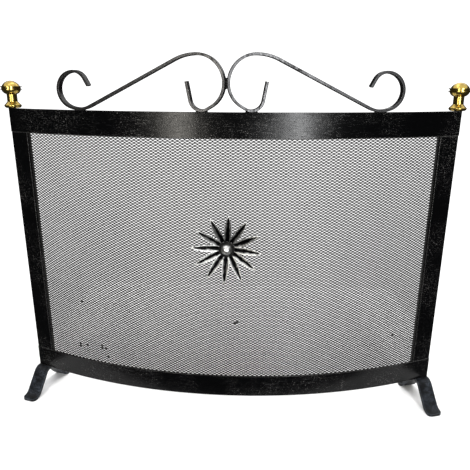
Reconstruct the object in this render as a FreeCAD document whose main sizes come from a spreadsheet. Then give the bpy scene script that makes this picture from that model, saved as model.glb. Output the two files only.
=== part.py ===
import FreeCAD
import Part
import Sketcher
import math
import os

# Bow-fronted fireplace screen: a flat-bar frame rolled to a shallow curve, expanded-metal mesh held
# behind it by thin strips, a pair of scrolls welded on the top rail, two turned brass finials,
# a pressed flower bolted through the mesh and two arched feet under the corners.
#
# Build frame: z = 0 is the floor, y = 0 is the chord between the front corners of the rails and the
# bow bulges towards -y.  Every piece is then shifted along y so that the origin is the middle of
# the base of the whole screen.

SIZES = {
    # frame
    "screen_width": 612.0,
    "bow_depth": 68.0,
    "panel_height": 399.0,
    "rail_height": 32.0,
    "bar_thickness": 3.0,
    "bar_edge_round": 0.5,
    "stile_width": 29.5,
    "stile_inset": 0.8,
    "ground_clearance": 37.5,
    # mesh and the strips that trap it
    "mesh_thickness": 0.6,
    "mesh_overlap": 12.0,
    "sheet_gap": 0.1,
    "strip_thickness": 1.5,
    "strip_setback": 3.5,
    "side_strip_reveal": 1.5,
    # scrolls, lengths measured along the plane of one scroll
    "scroll_bar_thick": 3.4,
    "scroll_bar_depth": 9.5,
    "scroll_bar_round": 0.6,
    "scroll_side_height": 33.5,
    "scroll_top_radius": 33.5,
    "scroll_shoulder_radius": 63.0,
    "scroll_slope": 26.0,
    "scroll_lower_radius": 30.9,
    "scroll_lower_turn": 60.0,
    "scroll_hook_radius": 14.5,
    "scroll_hook_lean": 11.0,
    "scroll_hook_length": 22.8,
    "scroll_heel_radius": 35.0,
    "scroll_heel_turn": 20.0,
    "scroll_curl_radius": 22.5,
    "scroll_eye_radius": 15.9,
    "scroll_eye_turn": 62.0,
    "scroll_tail_length": 10.2,
    "scroll_pair_gap": 0.2,
    "tie_length": 12.0,
    "tie_depth": 4.0,
    "weld_length": 14.0,
    "weld_clearance": 0.06,
    # finials
    "finial_base_radius": 11.2,
    "finial_foot_radius": 7.6,
    "finial_base_height": 8.5,
    "finial_widest_height": 3.8,
    "finial_neck_radius": 6.7,
    "finial_neck_top": 18.3,
    "finial_bowl_radius": 12.4,
    "finial_disc_radius": 14.0,
    "finial_disc_thick": 1.1,
    "finial_lower_disc": 24.2,
    "finial_upper_disc": 27.6,
    "finial_dome_radius": 11.6,
    "finial_height": 36.0,
    "finial_inset": 2.2,
    "stud_radius": 3.0,
    "stud_above": 12.0,
    "stud_below": 20.0,
    "stud_end_gap": 1.0,
    "stud_fit": 0.05,
    # rosette
    "rosette_height": 223.5,
    "rosette_turn": 4.0,
    "petal_count": 12,
    "petal_tip_radius": 48.5,
    "petal_half_width": 3.7,
    "petal_root_half": 1.4,
    "petal_thickness": 1.2,
    "petal_tilt": 14.0,
    "petal_sink": 0.2,
    "petal_root_depth": 2.0,
    "hub_radius": 10.5,
    "hub_thickness": 2.5,
    "collar_thickness": 1.5,
    "collar_rim_height": 1.0,
    "collar_rim_width": 2.0,
    "boss_radius": 7.5,
    "boss_height": 8.0,
    "boss_skirt": 1.5,
    "bolt_radius": 2.5,
    "bolt_in_boss": 4.5,
    "bolt_fit": 0.1,
    "washer_radius": 9.0,
    "washer_thickness": 1.2,
    "washer_gap": 0.15,
    "nut_across_flats": 8.0,
    "nut_thickness": 4.0,
    "bolt_tail": 2.0,
    # feet
    "foot_width": 22.0,
    "foot_thickness": 4.0,
    "foot_corner_inset": 10.0,
    "foot_splay": 16.0,
    "foot_flat": 3.5,
    "foot_slope": 52.0,
    "foot_shoulder_radius": 12.0,
    "foot_ankle_radius": 14.0,
    "foot_toe_flat": 5.0,
    "foot_toe_round": 6.0,
}

doc = FreeCAD.newDocument("FireplaceScreen")
sheet = doc.addObject("Spreadsheet::Sheet", "Sizes")
for row, (alias, number) in enumerate(SIZES.items(), start=1):
    sheet.set(f"A{row}", alias)
    sheet.set(f"B{row}", str(number))
    sheet.setAlias(f"B{row}", alias)
doc.recompute()


class Size:
    """A size as the expression that the document is bound to, with its present number."""

    def __init__(self, text, number):
        self.text = text
        self.number = number

    def __add__(self, other):
        other = as_size(other)
        return Size(f"({self.text} + {other.text})", self.number + other.number)

    def __sub__(self, other):
        other = as_size(other)
        return Size(f"({self.text} - {other.text})", self.number - other.number)

    def __mul__(self, other):
        other = as_size(other)
        return Size(f"({self.text} * {other.text})", self.number * other.number)

    def __truediv__(self, other):
        other = as_size(other)
        return Size(f"({self.text} / {other.text})", self.number / other.number)

    def __neg__(self):
        return Size(f"(-{self.text})", -self.number)


def as_size(value):
    """A plain number as a Size."""
    return value if isinstance(value, Size) else Size(f"({value})", value)


def size(alias):
    """The size that the sheet holds under this alias."""
    return Size(f"Sizes.{alias}", float(sheet.get(alias)))


def root(value):
    return Size(f"sqrt({value.text})", math.sqrt(value.number))


def sine(degrees):
    return Size(f"sin({degrees.text})", math.sin(math.radians(degrees.number)))


def cosine(degrees):
    return Size(f"cos({degrees.text})", math.cos(math.radians(degrees.number)))


ORIGIN = FreeCAD.Vector(0, 0, 0)
X_AXIS = FreeCAD.Vector(1, 0, 0)
Y_AXIS = FreeCAD.Vector(0, 1, 0)
Z_AXIS = FreeCAD.Vector(0, 0, 1)
NOTHING = as_size(0)
START, END, CENTRE = 1, 2, 3
ACROSS_AXIS, UP_AXIS = -1, -2
LEFT, RIGHT = -1, 1
SIDE_NAMES = {LEFT: "left", RIGHT: "right"}
FACING_NAMES = {-1: "inner", 1: "outer"}
QUARTER, HALF = 90, 180
HEX_STEP = 60
TOE_CORNERS = 4
WELD_FACETS = 3
SETTLING_PASSES = 8      # a scroll's lean and its gap to the meeting line depend on each other
PETAL_BELLY = 0.55       # how far up a petal it is widest, as a share of its length
FLARE_VIA = 0.15, 0.18   # where each curve of a finial passes, as shares of its width and height
HOLLOW_VIA = 0.42, 0.76
CUP_VIA = 0.68, 0.4
POINT_MATCH = 1e-4

# ---- places that several pieces share

width = size("screen_width")
bar = size("bar_thickness")
bow_radius = (width / 2 * width / 2 + size("bow_depth") * size("bow_depth")) / (size("bow_depth") * 2)
bow_centre = bow_radius - size("bow_depth")
mesh_radius = bow_radius - bar - size("sheet_gap")
strip_radius = mesh_radius - size("mesh_thickness") - size("sheet_gap")
mesh_front = bow_centre - mesh_radius
mesh_half = width / 2 - size("stile_inset") - size("stile_width") + size("mesh_overlap")
strip_width = size("mesh_overlap") - size("strip_setback")
window_height = size("panel_height") - size("rail_height") * 2
window_base = size("ground_clearance") + size("rail_height")
window_top = window_base + window_height
rail_top = size("ground_clearance") + size("panel_height")
rosette_centre = size("ground_clearance") + size("rosette_height")


def bow_front(radius, across):
    """y of a circle about the bow's centre, on its front side, at x = across."""
    return bow_centre - root(radius * radius - across * across)


# ---- a foot's reach and seat, which set how far back the screen stands

slope = size("foot_slope")
foot_bends = size("foot_shoulder_radius") + size("foot_ankle_radius")
foot_drop = size("ground_clearance") - size("foot_thickness")
foot_straight = (foot_drop - foot_bends * (as_size(1) - cosine(slope))) / sine(slope)
foot_run = foot_bends * sine(slope) + foot_straight * cosine(slope)
foot_reach = size("foot_flat") / 2 + foot_run + size("foot_toe_flat")
foot_across = width / 2 - size("foot_corner_inset")
foot_back = bow_front(bow_radius - bar / 2, foot_across)

# the outermost point of a rear toe's rounded corner, and the crown of the rosette's boss
toe_round_centre = (foot_back + (foot_reach - size("foot_toe_round")) * cosine(size("foot_splay"))
                    + (size("foot_width") / 2 - size("foot_toe_round")) * sine(size("foot_splay")))
rear_extent = toe_round_centre + size("foot_toe_round")
rosette_stack = size("hub_thickness") + size("collar_thickness") + size("boss_height")
front_extent = mesh_front - rosette_stack
frame_shift = -(front_extent + rear_extent) / 2


# ---- helpers

def new_body(label):
    """An empty body with its own label."""
    body = doc.addObject("PartDesign::Body", label)
    body.Label = label
    return body


def new_sketch(body, name, plane_role):
    """A sketch on one of the body's own origin planes."""
    sketch = body.newObject("Sketcher::SketchObject", f"{body.Label}_{name}")
    plane = next(f for f in body.Origin.OriginFeatures if f.Role == plane_role)
    sketch.AttachmentSupport = [(plane, "")]
    sketch.MapMode = "FlatFace"
    return sketch


def fix(sketch, kind, *where):
    """Add a geometric constraint."""
    sketch.addConstraint(Sketcher.Constraint(kind, *where))


def drive(sketch, amount, kind, *where):
    """Add a dimension bound to the sheet."""
    index = sketch.addConstraint(Sketcher.Constraint(kind, *where, amount.number))
    sketch.setExpression(f"Constraints[{index}]", amount.text)


def pin_point(sketch, edge, end, across, up):
    """Bind a point of the sketch to its two distances from the sketch's origin."""
    drive(sketch, across, "DistanceX", -1, START, edge, end)
    drive(sketch, up, "DistanceY", -1, START, edge, end)


def draw_profile(sketch, corners):
    """
    A closed outline through corners, each (across, up) or (across, up, via) where via is a point
    that an arc passes through on its way to that corner from the one before.  A fourth entry is
    the sketch axis that holds that arc's centre.
    """
    count = len(corners)
    points = [FreeCAD.Vector(corner[0].number, corner[1].number, 0) for corner in corners]
    for index in range(count):
        following = (index + 1) % count
        corner = corners[following]
        if len(corner) > 2:
            via = FreeCAD.Vector(corner[2][0].number, corner[2][1].number, 0)
            sketch.addGeometry(Part.Arc(points[index], via, points[following]))
        else:
            sketch.addGeometry(Part.LineSegment(points[index], points[following]))
    for index in range(count):
        near = START if sketch.getPoint(index, START).distanceToPoint(points[index]) < POINT_MATCH else END
        far = END if near == START else START
        following = (index + 1) % count
        target = points[following]
        joined = START if sketch.getPoint(following, START).distanceToPoint(target) < POINT_MATCH else END
        fix(sketch, "Coincident", index, far, following, joined)
        pin_point(sketch, index, near, corners[index][0], corners[index][1])
    for index, corner in enumerate(corners):
        if len(corner) > 3:
            fix(sketch, "PointOnObject", (index - 1) % count, CENTRE, corner[3])


def cap_middle(rim, rise):
    """A point halfway along the arc of a domed cap: its radius, and its height above the rim."""
    ball = (rim * rim + rise * rise) / (rise * 2)
    half_angle = math.degrees(math.asin(rim.number / ball.number)) / 2
    return ball * math.sin(math.radians(half_angle)), rise - ball * (1 - math.cos(math.radians(half_angle)))


def pad(body, sketch, length, midplane=False):
    """Pad a sketch by a length bound to the sheet."""
    feature = body.newObject("PartDesign::Pad", f"{body.Label}_pad")
    feature.Profile = sketch
    feature.Midplane = midplane
    feature.setExpression("Length", length.text)
    return feature


def revolve(body, sketch, axis_name):
    """A full turn of a sketch about one of its own axes."""
    feature = body.newObject("PartDesign::Revolution", f"{body.Label}_turning")
    feature.Profile = sketch
    feature.ReferenceAxis = (sketch, [axis_name])
    feature.Angle = 360
    return feature


def round_edges(body, radius, edge_names=None):
    """Round a body's edges, all of them unless some are named."""
    doc.recompute()
    base = body.Tip
    names = edge_names or [f"Edge{i + 1}" for i in range(len(base.Shape.Edges))]
    fillet = body.newObject("PartDesign::Fillet", f"{body.Label}_round")
    fillet.Base = (base, names)
    fillet.setExpression("Radius", radius.text)


def place(item, across=NOTHING, back=NOTHING, up=NOTHING):
    """Bind an item's position to the sheet, with the shift to the common origin."""
    item.setExpression(".Placement.Base.x", across.text)
    item.setExpression(".Placement.Base.y", (back + frame_shift).text)
    item.setExpression(".Placement.Base.z", up.text)


def turn(item, axis, degrees):
    """Turn an item about its own origin."""
    item.Placement = FreeCAD.Placement(ORIGIN, FreeCAD.Rotation(axis, degrees))


def bow_arc(start, end):
    """Arc about the bow's centre, from the left point to the right point."""
    centre = FreeCAD.Vector(0, bow_centre.number, 0)
    middle = ((start + end) / 2 - centre).normalize()
    return Part.Arc(start, centre + middle * start.distanceToPoint(centre), end)


def bow_bar(label, radius, thickness, bottom, tall, outer, side=None, broad=None):
    """
    A flat bar bent to the bow, with radial ends.  It runs from -outer to +outer, or, on one side
    only, from outer inwards for the distance broad, measured straight across its front.
    """
    body = new_body(label)
    sketch = new_sketch(body, "plan", "XY_Plane")
    centre = FreeCAD.Vector(0, bow_centre.number, 0)
    far = FreeCAD.Vector(outer.number, bow_front(radius, outer).number, 0)
    if side:
        half_turn = math.asin(broad.number / 2 / radius.number)
        inward = FreeCAD.Rotation(Z_AXIS, -math.degrees(2 * half_turn))
        near = centre + inward.multVec(far - centre)
    else:
        near = FreeCAD.Vector(-far.x, far.y, 0)
    if side == LEFT:
        near, far = FreeCAD.Vector(-far.x, far.y, 0), FreeCAD.Vector(-near.x, near.y, 0)
    inner = radius - thickness
    scale = inner.number / radius.number
    near_back = centre + (near - centre) * scale
    far_back = centre + (far - centre) * scale
    sketch.addGeometry([
        bow_arc(near, far),
        Part.LineSegment(far, far_back),
        bow_arc(near_back, far_back),
        Part.LineSegment(near_back, near),
    ])
    fix(sketch, "Coincident", 0, END, 1, START)
    fix(sketch, "Coincident", 1, END, 2, END)
    fix(sketch, "Coincident", 2, START, 3, START)
    fix(sketch, "Coincident", 3, END, 0, START)
    fix(sketch, "Coincident", 0, CENTRE, 2, CENTRE)
    fix(sketch, "PointOnObject", 0, CENTRE, UP_AXIS)
    fix(sketch, "PointOnObject", 0, CENTRE, 1)
    fix(sketch, "PointOnObject", 0, CENTRE, 3)
    drive(sketch, bow_centre, "DistanceY", -1, START, 0, CENTRE)
    drive(sketch, radius, "Radius", 0)
    drive(sketch, inner, "Radius", 2)
    if side != RIGHT:
        drive(sketch, outer, "DistanceX", 0, START, -1, START)
    if side != LEFT:
        drive(sketch, outer, "DistanceX", -1, START, 0, END)
    if side:
        drive(sketch, broad, "Distance", 0, START, 0, END)
    pad(body, sketch, tall)
    place(body, up=bottom)
    return body


# ---- frame: two full-width rails with the stiles butted between them

def make_frame():
    edge_round = size("bar_edge_round")
    rails = {"bottom_rail": size("ground_clearance"), "top_rail": window_top}
    for label, bottom in rails.items():
        round_edges(bow_bar(label, bow_radius, bar, bottom, size("rail_height"), width / 2), edge_round)
    for side, name in SIDE_NAMES.items():
        stile = bow_bar(f"{name}_stile", bow_radius, bar, window_base, window_height,
                        width / 2 - size("stile_inset"), side, size("stile_width"))
        round_edges(stile, edge_round)


# ---- mesh panel behind the frame, with the rosette's bolt hole, and the strips that trap it

def make_mesh():
    overlap = size("mesh_overlap")
    mesh = bow_bar("mesh_panel", mesh_radius, size("mesh_thickness"), window_base - overlap,
                   window_height + overlap * 2, mesh_half)
    doc.recompute()
    hole_radius = size("bolt_radius") + size("bolt_fit")
    mesh_y = (mesh_front + frame_shift).number
    slug = Part.makeCylinder(hole_radius.number, 2 * size("mesh_thickness").number,
                             FreeCAD.Vector(0, mesh_y, rosette_centre.number), FreeCAD.Vector(0, 1, 0))
    whole_slug = mesh.Shape.common(slug).Volume
    hole_sketch = new_sketch(mesh, "bolt_hole", "XZ_Plane")
    hole_up = size("rosette_height") - size("rail_height") + overlap
    hole_sketch.addGeometry(Part.Circle(FreeCAD.Vector(0, hole_up.number, 0), Z_AXIS, hole_radius.number))
    fix(hole_sketch, "PointOnObject", 0, CENTRE, UP_AXIS)
    drive(hole_sketch, hole_up, "DistanceY", -1, START, 0, CENTRE)
    drive(hole_sketch, hole_radius, "Radius", 0)
    hole = mesh.newObject("PartDesign::Pocket", "mesh_panel_bolt_pocket")
    hole.Profile = hole_sketch
    hole.Midplane = True
    hole.setExpression("Length", (size("bow_depth") * 2 + width).text)
    doc.recompute()
    if mesh.Shape.common(slug).Volume >= POINT_MATCH * whole_slug:
        raise RuntimeError("the bolt hole cuts nothing from the mesh panel")


def make_strips():
    thick = size("strip_thickness")
    setback = size("strip_setback")
    side_tall, side_broad = window_height + setback * 2, size("mesh_overlap") + size("side_strip_reveal")
    bow_bar("top_strip", strip_radius, thick, window_top + setback, strip_width, mesh_half)
    bow_bar("bottom_strip", strip_radius, thick, window_base - setback - strip_width, strip_width, mesh_half)
    for side, name in SIDE_NAMES.items():
        bow_bar(f"{name}_strip", strip_radius, thick, window_base - setback, side_tall,
                mesh_half, side, side_broad)


# ---- scrolls: one flat bar each, bent in a flat plane that cuts across the bow between its two welds

class ScrollPath:
    """Key points of the bar's centreline, across from the meeting line and up from the rail."""

    def __init__(self):
        half_bar = size("scroll_bar_thick") / 2
        self.lower, self.hook = size("scroll_lower_radius"), size("scroll_hook_radius")
        self.top, self.shoulder = size("scroll_top_radius"), size("scroll_shoulder_radius")
        self.heel, self.curl = size("scroll_heel_radius"), size("scroll_curl_radius")
        self.eye = size("scroll_eye_radius")
        self.fall, self.dive = size("scroll_slope"), size("scroll_lower_turn")
        self.roll, self.eye_turn = size("scroll_heel_turn"), size("scroll_eye_turn")
        self.hook_lean, self.hook_length = size("scroll_hook_lean"), size("scroll_hook_length")
        self.side_up = size("scroll_side_height")
        self.hook_up = half_bar + self.hook
        self.heel_up = half_bar + self.heel
        # from the side of the big loop down to the hook
        dive_down = self.side_up - self.hook_up - (self.lower - self.hook) * sine(self.dive)
        dive_over = dive_down * sine(self.dive) / cosine(self.dive)
        lower_over = (self.lower - self.hook) * (as_size(1) - cosine(self.dive))
        self.hook_over = lower_over + dive_over + self.hook
        # the free end of the hook, which leans outwards
        lean, length = self.hook_lean, self.hook_length
        self.tip_over = self.hook_over + self.hook * cosine(lean) + length * sine(lean)
        self.tip_up = self.hook_up - self.hook * sine(lean) + length * cosine(lean)
        # from the top of the big loop down the long straight to the heel
        crown = self.side_up + self.top
        bends = (self.shoulder + self.heel) * (as_size(1) - cosine(self.fall))
        straight_down = crown - half_bar - bends
        straight_over = straight_down * cosine(self.fall) / sine(self.fall)
        self.heel_over = self.top + (self.shoulder + self.heel) * sine(self.fall) + straight_over


def scroll_plane(path):
    """Angle of a scroll's plane to the x axis, the meeting line's y, and the gap to that line."""
    half_span = (path.heel_over - path.hook_over) / 2
    middle = (path.heel_over + path.hook_over) / 2
    rail_middle = bow_radius - bar / 2
    away = root(rail_middle * rail_middle - half_span * half_span)
    half_bar = size("scroll_bar_thick") / 2
    offset = half_bar.number
    for _ in range(SETTLING_PASSES):
        lean = math.atan2(middle.number + offset, away.number)
        edge = size("scroll_bar_depth").number / 2 * math.tan(lean)
        offset = half_bar.number + edge + size("scroll_pair_gap").number / 2
    apex = bow_centre.number - away.number * math.cos(lean) - (middle.number + offset) * math.sin(lean)
    return lean, apex, offset


def scroll_point(lean, apex, along, side, up):
    """Placement of a point of a scroll's plane, with x along the plane and z up."""
    heading = math.degrees(lean) if side == RIGHT else HALF - math.degrees(lean)
    base = FreeCAD.Vector(side * along * math.cos(lean), apex + along * math.sin(lean) + frame_shift.number,
                          rail_top.number + up)
    return FreeCAD.Placement(base, FreeCAD.Rotation(Z_AXIS, heading))


def arc_of(centre_over, centre_up, radius, first, last):
    """Arc of a circle between two angles in degrees, anticlockwise."""
    circle = Part.Circle(FreeCAD.Vector(centre_over, centre_up, 0), Z_AXIS, radius)
    return Part.ArcOfCircle(circle, math.radians(first), math.radians(last))


def draw_scroll(sketch, path):
    """The centreline from the tip of the hook to the straight tail of the outer curl."""
    fall, dive, roll = path.fall.number, path.dive.number, path.roll.number
    tip_over, tip_up = path.tip_over.number, path.tip_up.number
    side_up = path.side_up.number - tip_up
    hook = arc_of(path.hook_over.number - tip_over, path.hook_up.number - tip_up, path.hook.number,
                  HALF + dive, 2 * HALF - path.hook_lean.number)
    lower = arc_of(path.lower.number - tip_over, side_up, path.lower.number, HALF, HALF + dive)
    top = arc_of(path.top.number - tip_over, side_up, path.top.number, QUARTER, HALF)
    shoulder_up = side_up + path.top.number - path.shoulder.number
    shoulder = arc_of(path.top.number - tip_over, shoulder_up, path.shoulder.number, QUARTER - fall, QUARTER)
    heel_over = path.heel_over.number - tip_over
    heel_up = path.heel_up.number - tip_up
    lowest = HALF + QUARTER
    heel = arc_of(heel_over, heel_up, path.heel.number, lowest - fall, lowest + roll)
    step_in = path.heel.number - path.curl.number
    curl_over = heel_over + step_in * math.sin(math.radians(roll))
    curl_up = heel_up - step_in * math.cos(math.radians(roll))
    curl = arc_of(curl_over, curl_up, path.curl.number, lowest + roll, lowest + HALF)
    eye_end = QUARTER + path.eye_turn.number
    eye = arc_of(curl_over, curl_up + path.curl.number - path.eye.number, path.eye.number, QUARTER, eye_end)
    heading = FreeCAD.Rotation(Z_AXIS, eye_end).multVec(Y_AXIS)
    tail_end = eye.EndPoint + heading * size("scroll_tail_length").number
    sketch.addGeometry([
        Part.LineSegment(ORIGIN, hook.EndPoint),
        hook,
        Part.LineSegment(hook.StartPoint, lower.EndPoint),
        lower,
        top,
        shoulder,
        Part.LineSegment(shoulder.StartPoint, heel.StartPoint),
        heel,
        curl,
        eye,
        Part.LineSegment(eye.EndPoint, tail_end),
    ])
    tip, hook, dip, lower, top, shoulder, run, heel, curl, eye, tail = range(sketch.GeometryCount)
    joints = [(tip, END, hook, END), (hook, START, dip, START), (dip, END, lower, END),
              (lower, START, top, END), (top, START, shoulder, END), (shoulder, START, run, START),
              (run, END, heel, START), (heel, END, curl, START), (curl, END, eye, START),
              (eye, END, tail, START)]
    for joint in joints:
        fix(sketch, "Tangent", *joint)
    fix(sketch, "Coincident", tip, START, -1, START)
    fix(sketch, "Horizontal", lower, CENTRE, lower, START)
    fix(sketch, "Vertical", top, CENTRE, top, START)
    fix(sketch, "Vertical", curl, CENTRE, curl, END)
    radii = {hook: path.hook, lower: path.lower, top: path.top, shoulder: path.shoulder,
             heel: path.heel, curl: path.curl, eye: path.eye}
    for edge, radius in radii.items():
        drive(sketch, radius, "Radius", edge)
    drive(sketch, path.hook_length, "Distance", tip, START, tip, END)
    drive(sketch, path.hook * sine(path.hook_lean), "DistanceY", hook, END, hook, CENTRE)
    drive(sketch, path.eye * sine(path.eye_turn), "DistanceX", eye, END, eye, CENTRE)
    drive(sketch, size("scroll_tail_length"), "Distance", tail, START, tail, END)
    drive(sketch, path.side_up - path.hook_up, "DistanceY", hook, CENTRE, lower, START)
    drive(sketch, path.hook_over, "DistanceX", lower, START, hook, CENTRE)
    drive(sketch, path.heel - path.hook, "DistanceY", hook, CENTRE, heel, CENTRE)
    drive(sketch, path.heel_over, "DistanceX", lower, START, heel, CENTRE)
    drive(sketch, (path.heel - path.curl) * sine(path.roll), "DistanceX", heel, CENTRE, curl, CENTRE)


def draw_bar_section(sketch, broad, deep, corner):
    """A rectangle with rounded corners, centred on the sketch's origin."""
    half_x, half_y = (broad / 2 - corner).number, (deep / 2 - corner).number
    radius = corner.number
    corners = [(half_x, half_y, 0), (-half_x, half_y, QUARTER), (-half_x, -half_y, HALF),
               (half_x, -half_y, HALF + QUARTER)]
    arcs = [arc_of(over, up, radius, first, first + QUARTER) for over, up, first in corners]
    for index, arc in enumerate(arcs):
        following = arcs[(index + 1) % len(arcs)]
        sketch.addGeometry([arc, Part.LineSegment(arc.EndPoint, following.StartPoint)])
    count = 2 * len(arcs)
    for index in range(count):
        fix(sketch, "Tangent", index, END, (index + 1) % count, START)
    for index in range(0, count, 2):
        drive(sketch, corner, "Radius", index)
    fix(sketch, "Symmetric", 0, CENTRE, 4, CENTRE, -1, START)
    fix(sketch, "Horizontal", 1)
    drive(sketch, broad - corner * 2, "DistanceX", 2, CENTRE, 0, CENTRE)
    drive(sketch, deep - corner * 2, "DistanceY", 6, CENTRE, 0, CENTRE)


def make_scrolls(path, lean, apex, offset):
    square_to_bar = FreeCAD.Placement(ORIGIN, FreeCAD.Rotation(Y_AXIS, path.hook_lean.number))
    for side, name in SIDE_NAMES.items():
        body = new_body(f"{name}_scroll")
        line = new_sketch(body, "centreline", "XZ_Plane")
        draw_scroll(line, path)
        section = new_sketch(body, "section", "XY_Plane")
        section.AttachmentOffset = square_to_bar
        draw_bar_section(section, size("scroll_bar_thick"), size("scroll_bar_depth"),
                         size("scroll_bar_round"))
        doc.recompute()
        bent_bar = body.newObject("PartDesign::AdditivePipe", f"{name}_scroll_bar")
        bent_bar.Profile = section
        bent_bar.Spine = (line, [f"Edge{i + 1}" for i in range(line.GeometryCount)])
        body.Placement = scroll_point(lean, apex, path.tip_over.number + offset, side, path.tip_up.number)


def make_tie(lean, apex, offset):
    """The weld that fills the front of the notch between the two scrolls."""
    inner = (offset - size("scroll_bar_thick").number / 2)
    front = -size("scroll_bar_depth").number / 2
    rear = front + size("tie_depth").number
    half_front, half_rear = (inner * math.cos(lean) - depth * math.sin(lean) for depth in (front, rear))
    front_y, rear_y = (inner * math.sin(lean) + depth * math.cos(lean) for depth in (front, rear))
    body = new_body("scroll_tie")
    sketch = new_sketch(body, "plan", "XY_Plane")
    draw_profile(sketch, [(as_size(over), as_size(back)) for over, back in (
        (-half_front, front_y), (half_front, front_y), (half_rear, rear_y), (-half_rear, rear_y))])
    pad(body, sketch, size("tie_length"), midplane=True)
    place(body, back=as_size(apex), up=rail_top + size("scroll_side_height"))


def bead_outline(radius, facing):
    """Side of one bead: level on the rail, with flat facets that follow the underside of a bend."""
    centre_up = radius.number + size("scroll_bar_thick").number / 2
    facet_radius = centre_up + size("weld_clearance").number
    thin_end = math.acos(centre_up / facet_radius)
    thick_end = math.asin(size("weld_length").number / 2 / facet_radius)
    angles = [thin_end + (thick_end - thin_end) * i / WELD_FACETS for i in range(WELD_FACETS + 1)]
    outline = [(facing * facet_radius * math.sin(angle), centre_up - facet_radius * math.cos(angle))
               for angle in angles]
    outline.append((outline[-1][0], 0))
    return [(as_size(over), as_size(up)) for over, up in outline]


def make_scroll_welds(path, lean, apex, offset):
    """Beads between the rail's top edge and each bend that touches it, one either side of the contact."""
    beads = []
    for side, name in SIDE_NAMES.items():
        for spot, over, radius in (("hook", path.hook_over, path.hook), ("heel", path.heel_over, path.heel)):
            for facing, facing_name in FACING_NAMES.items():
                bead = new_body(f"{name}_{spot}_{facing_name}_bead")
                outline = new_sketch(bead, "side", "XZ_Plane")
                draw_profile(outline, bead_outline(radius, facing))
                pad(bead, outline, bar, midplane=True)
                bead.Placement = scroll_point(lean, apex, over.number + offset, side, 0)
                beads.append(bead)
    group = doc.addObject("Part::Compound", "scroll_welds")
    group.Label = "scroll_welds"
    group.Links = beads


# ---- finials: turned brass, each screwed on a stud that stands behind the top rail's end

def make_finials():
    stud = size("stud_radius")
    stud_bow = bow_radius - bar - size("stud_fit") - stud
    across = width / 2 - size("finial_inset") - stud
    bore = stud + size("stud_fit")
    bore_top = size("stud_above") + size("stud_end_gap")
    base, foot, neck = size("finial_base_radius"), size("finial_foot_radius"), size("finial_neck_radius")
    neck_base, neck_top = size("finial_base_height"), size("finial_neck_top")
    widest = size("finial_widest_height")
    bowl, disc, dome = size("finial_bowl_radius"), size("finial_disc_radius"), size("finial_dome_radius")
    thick = size("finial_disc_thick")
    lower, upper = size("finial_lower_disc"), size("finial_upper_disc")
    top = size("finial_height")
    dome_base = upper + thick
    cap_over, cap_up = cap_middle(dome, top - dome_base)
    profile = [
        (bore, NOTHING),
        (foot, NOTHING),
        (base, widest, (base - (base - foot) * FLARE_VIA[0], neck_base * FLARE_VIA[1])),
        (neck, neck_base, (neck + (base - neck) * HOLLOW_VIA[0], neck_base * HOLLOW_VIA[1])),
        (neck, neck_top),
        (bowl, lower, (neck + (bowl - neck) * CUP_VIA[0], neck_top + (lower - neck_top) * CUP_VIA[1])),
        (disc, lower),
        (disc, lower + thick),
        (bowl, lower + thick),
        (bowl, upper),
        (disc, upper),
        (disc, dome_base),
        (dome, dome_base),
        (NOTHING, top, (cap_over, dome_base + cap_up), UP_AXIS),
        (NOTHING, bore_top),
        (bore, bore_top),
    ]
    for side, name in SIDE_NAMES.items():
        finial = new_body(f"{name}_finial")
        outline = new_sketch(finial, "profile", "XZ_Plane")
        draw_profile(outline, profile)
        revolve(finial, outline, "V_Axis")
        place(finial, across * side, bow_front(stud_bow, across), rail_top)
        pin = doc.addObject("Part::Cylinder", f"{name}_finial_stud")
        pin.Label = f"{name}_finial_stud"
        pin.setExpression("Radius", stud.text)
        pin.setExpression("Height", (size("stud_above") + size("stud_below")).text)
        place(pin, across * side, bow_front(stud_bow, across), rail_top - size("stud_below"))


# ---- rosette: built about its own axis, y = 0 at the front of the mesh, then turned a little

def rosette_place(item):
    turn(item, Y_AXIS, size("rosette_turn").number)
    place(item, back=mesh_front, up=rosette_centre)


def turned_piece(label, profile):
    """A piece turned about the y axis; profile corners are (y, radius)."""
    body = new_body(label)
    sketch = new_sketch(body, "profile", "YZ_Plane")
    draw_profile(sketch, profile)
    revolve(body, sketch, "H_Axis")
    rosette_place(body)
    return body


def make_flower():
    """Twelve pointed petals standing forward from a thick hub."""
    hole, hub, thick = size("bolt_radius") + size("bolt_fit"), size("hub_radius"), size("hub_thickness")
    flower = turned_piece("rosette_flower", [(NOTHING, hole), (NOTHING, hub), (-thick, hub), (-thick, hole)])
    petal = new_sketch(flower, "petal", "XZ_Plane")
    tilt = size("petal_tilt")
    lift = thick - size("petal_sink") - (hub * sine(tilt) + size("petal_thickness")) / cosine(tilt)
    petal.AttachmentOffset = FreeCAD.Placement(ORIGIN, FreeCAD.Rotation(X_AXIS, tilt.number))
    petal.setExpression(".AttachmentOffset.Base.z", lift.text)
    root_up, tip_up = hub - size("petal_root_depth"), size("petal_tip_radius")
    root_half, half = size("petal_root_half"), size("petal_half_width")
    belly_up = root_up + (tip_up - root_up) * PETAL_BELLY
    draw_profile(petal, [
        (-root_half, root_up, (-half, belly_up)),
        (root_half, root_up),
        (NOTHING, tip_up, (half, belly_up)),
    ])
    blade = pad(flower, petal, size("petal_thickness"))
    ring = flower.newObject("PartDesign::PolarPattern", "rosette_flower_ring")
    ring.Originals = [blade]
    ring.Axis = (next(f for f in flower.Origin.OriginFeatures if f.Role == "Y_Axis"), [""])
    ring.Angle = 360
    ring.setExpression("Occurrences", size("petal_count").text)
    flower.Tip = ring


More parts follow.
